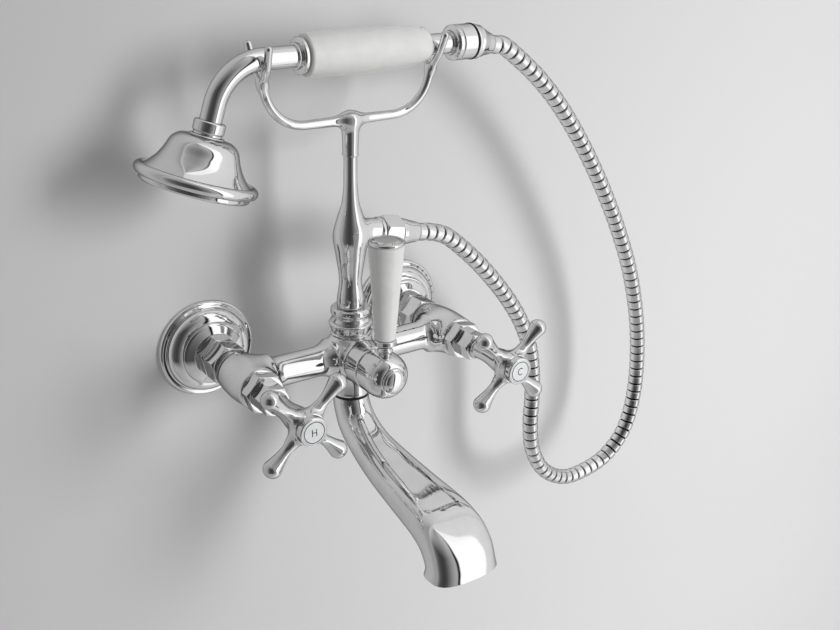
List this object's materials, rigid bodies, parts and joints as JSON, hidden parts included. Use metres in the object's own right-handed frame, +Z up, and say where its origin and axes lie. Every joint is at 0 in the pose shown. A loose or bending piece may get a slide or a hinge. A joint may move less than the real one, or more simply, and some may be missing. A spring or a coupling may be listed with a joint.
{
  "type": "bath shower mixer",
  "caption": "Wall-mounted chrome bath tap with cross handles, a diverter lever, a swivelling spout and a hand shower that rests in a cradle on a ribbed hose.",
  "frame": {"origin": "midway between the two inlet centres, on the face of the wall", "axes": "+X to the right along the two inlets, +Y into the wall, +Z up"},
  "size_m": [0.4127, 0.2104, 0.3706],
  "materials": {
    "chrome": "polished chrome plate",
    "hose_chrome": "wound chrome strip",
    "brass": "turned brass",
    "porcelain": "glossy glaze",
    "enamel": "gloss enamel",
    "valve_ceramic": "lapped ceramic",
    "seal_rubber": "black rubber"
  },
  "bodies": {
    "mixer": {"mixer_body": "chrome", "wall_flange_hot": "chrome", "wall_flange_cold": "chrome", "wall_tail_hot": "brass", "wall_tail_cold": "brass", "union_nut_hot": "chrome", "union_nut_cold": "chrome", "union_washers": "seal_rubber", "valve_bonnet_hot": "chrome", "valve_bonnet_cold": "chrome", "gland_nut_hot": "chrome", "gland_nut_cold": "chrome", "fixed_discs": "valve_ceramic", "seat_washers": "seal_rubber", "stem_seals": "seal_rubber", "riser_nut": "chrome", "riser_column": "chrome", "riser_washer": "seal_rubber", "cradle": "chrome", "cradle_screw": "chrome", "outlet_nut": "chrome", "outlet_ferrule": "chrome", "outlet_washer": "seal_rubber", "hose": "hose_chrome", "diverter_retainer": "brass"},
    "hot_handle": {"cross_handle_hot": "chrome", "spindle_hot": "brass", "moving_disc_hot": "valve_ceramic", "handle_screw_hot": "brass", "index_cap_hot": "chrome", "index_disc_hot": "enamel"},
    "cold_handle": {"cross_handle_cold": "chrome", "spindle_cold": "brass", "moving_disc_cold": "valve_ceramic", "handle_screw_cold": "brass", "index_cap_cold": "chrome", "index_disc_cold": "enamel"},
    "diverter": {"diverter_dome": "chrome", "diverter_button": "chrome", "diverter_spool": "brass", "diverter_seals": "seal_rubber", "lever_stem": "chrome", "lever_grip": "porcelain", "lever_cap": "chrome"},
    "spout": {"spout": "chrome", "spout_seals": "seal_rubber"},
    "handset": {"handset_tube": "chrome", "rose_collar": "chrome", "rose_shell": "chrome", "rose_face": "chrome", "front_ferrule": "chrome", "handle_grip": "porcelain", "grip_core": "brass", "rear_ferrule": "chrome", "hose_nut": "chrome", "nut_ring": "seal_rubber", "hose_ferrule": "chrome", "hose_washer": "seal_rubber"}
  },
  "joints": [
    {"name": "hot_handle_turn", "type": "hinge", "parent": "mixer", "child": "hot_handle", "pos_m": [-0.075, -0.1, 0], "axis": [0, -1, 0], "range_deg": [0, 90]},
    {"name": "cold_handle_turn", "type": "hinge", "parent": "mixer", "child": "cold_handle", "pos_m": [0.075, -0.1, 0], "axis": [0, -1, 0], "range_deg": [-90, 0]},
    {"name": "diverter_turn", "type": "hinge", "parent": "mixer", "child": "diverter", "pos_m": [0, -0.088, 0], "axis": [0, -1, 0], "range_deg": [-45, 45]},
    {"name": "spout_swivel", "type": "hinge", "parent": "mixer", "child": "spout", "pos_m": [0, -0.059, -0.028], "axis": [0, 0, 1], "range_deg": [-60, 60]},
    {"name": "handset_lift", "type": "slide", "parent": "mixer", "child": "handset", "axis": [0, 0, 1], "range_m": [0, 0.07], "deforming": ["hose"]}
  ]
}
